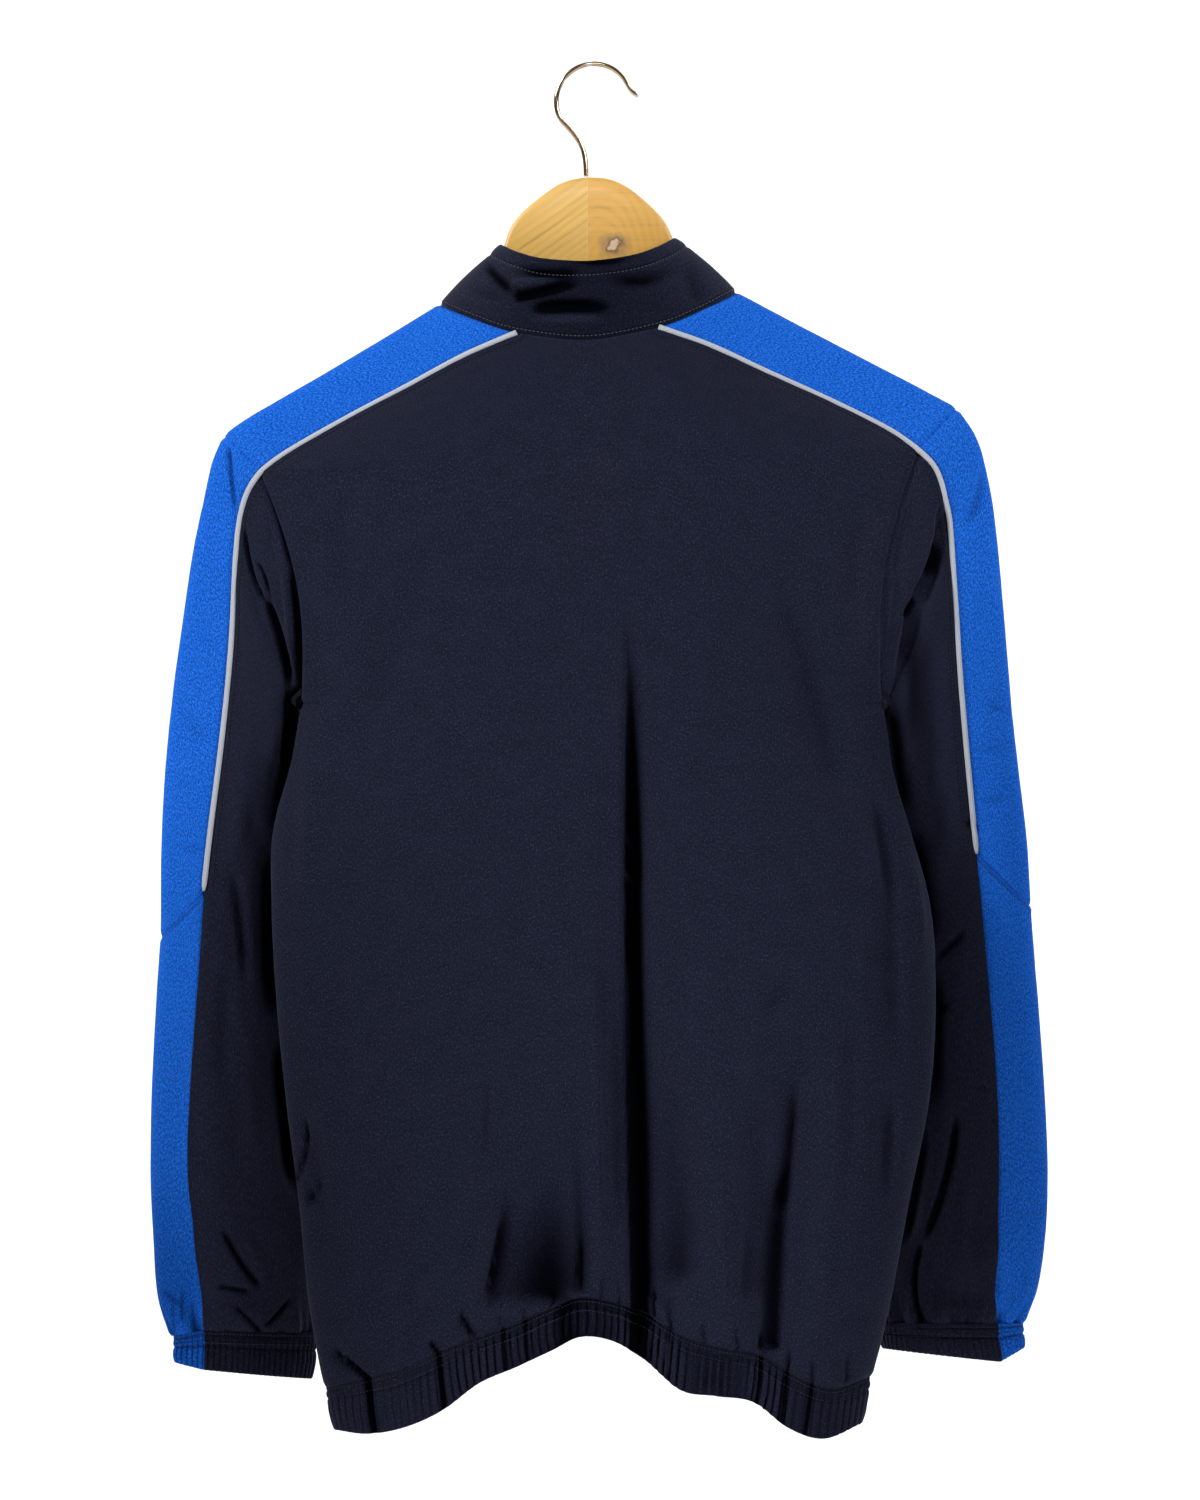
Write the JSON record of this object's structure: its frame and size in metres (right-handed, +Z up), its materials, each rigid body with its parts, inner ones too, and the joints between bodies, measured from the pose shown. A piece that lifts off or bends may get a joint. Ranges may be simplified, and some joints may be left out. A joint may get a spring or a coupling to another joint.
{
  "type": "track jacket on a clothes hanger",
  "caption": "Zip-up track jacket with contrast shoulder and sleeve stripes, hanging closed on a wooden clothes hanger.",
  "frame": {"origin": "top of the hook's inner curve, where the hanger rests on a rail", "axes": "+Z up, the jacket's front faces -Y, and its left sleeve is at +X"},
  "size_m": [0.5636, 0.1267, 0.8601],
  "materials": {
    "navy_cloth": "matte brushed polyester knit",
    "blue_cloth": "matte brushed polyester knit",
    "white_piping": "matte woven piping over a cord",
    "zip_tape": "woven tape with coil teeth",
    "zip_metal": "satin plated",
    "hanger_wood": "clear satin varnish",
    "hook_wire": "bright plated"
  },
  "bodies": {
    "jacket": {"back_panel": "navy_cloth", "front_panel_left": "navy_cloth", "front_panel_right": "navy_cloth", "shoulder_panel_left": "blue_cloth", "shoulder_panel_right": "blue_cloth", "sleeve_back_left": "navy_cloth", "sleeve_back_right": "navy_cloth", "sleeve_front_left": "navy_cloth", "sleeve_front_right": "navy_cloth", "sleeve_upper_stripe_left": "blue_cloth", "sleeve_upper_stripe_right": "blue_cloth", "sleeve_lower_stripe_left": "blue_cloth", "sleeve_lower_stripe_right": "blue_cloth", "piping_back_left": "white_piping", "piping_back_right": "white_piping", "piping_front_left": "white_piping", "piping_front_right": "white_piping", "collar": "navy_cloth", "hem_casing_back": "navy_cloth", "hem_casing_front_left": "navy_cloth", "hem_casing_front_right": "navy_cloth", "cuff_left": "navy_cloth", "cuff_right": "navy_cloth", "zip_tape_left": "zip_tape", "zip_tape_right": "zip_tape", "zip_slider": "zip_metal", "hanger_arm_left": "hanger_wood", "hanger_arm_right": "hanger_wood", "hanger_hook": "hook_wire"},
    "pull_tab": {"zip_pull": "zip_metal"}
  },
  "joints": [
    {"name": "zip_pull_swing", "type": "hinge", "parent": "jacket", "child": "pull_tab", "pos_m": [0.004, -0.05065, -0.18665], "axis": [-1, 0, 0], "range_deg": [0, 150]}
  ]
}
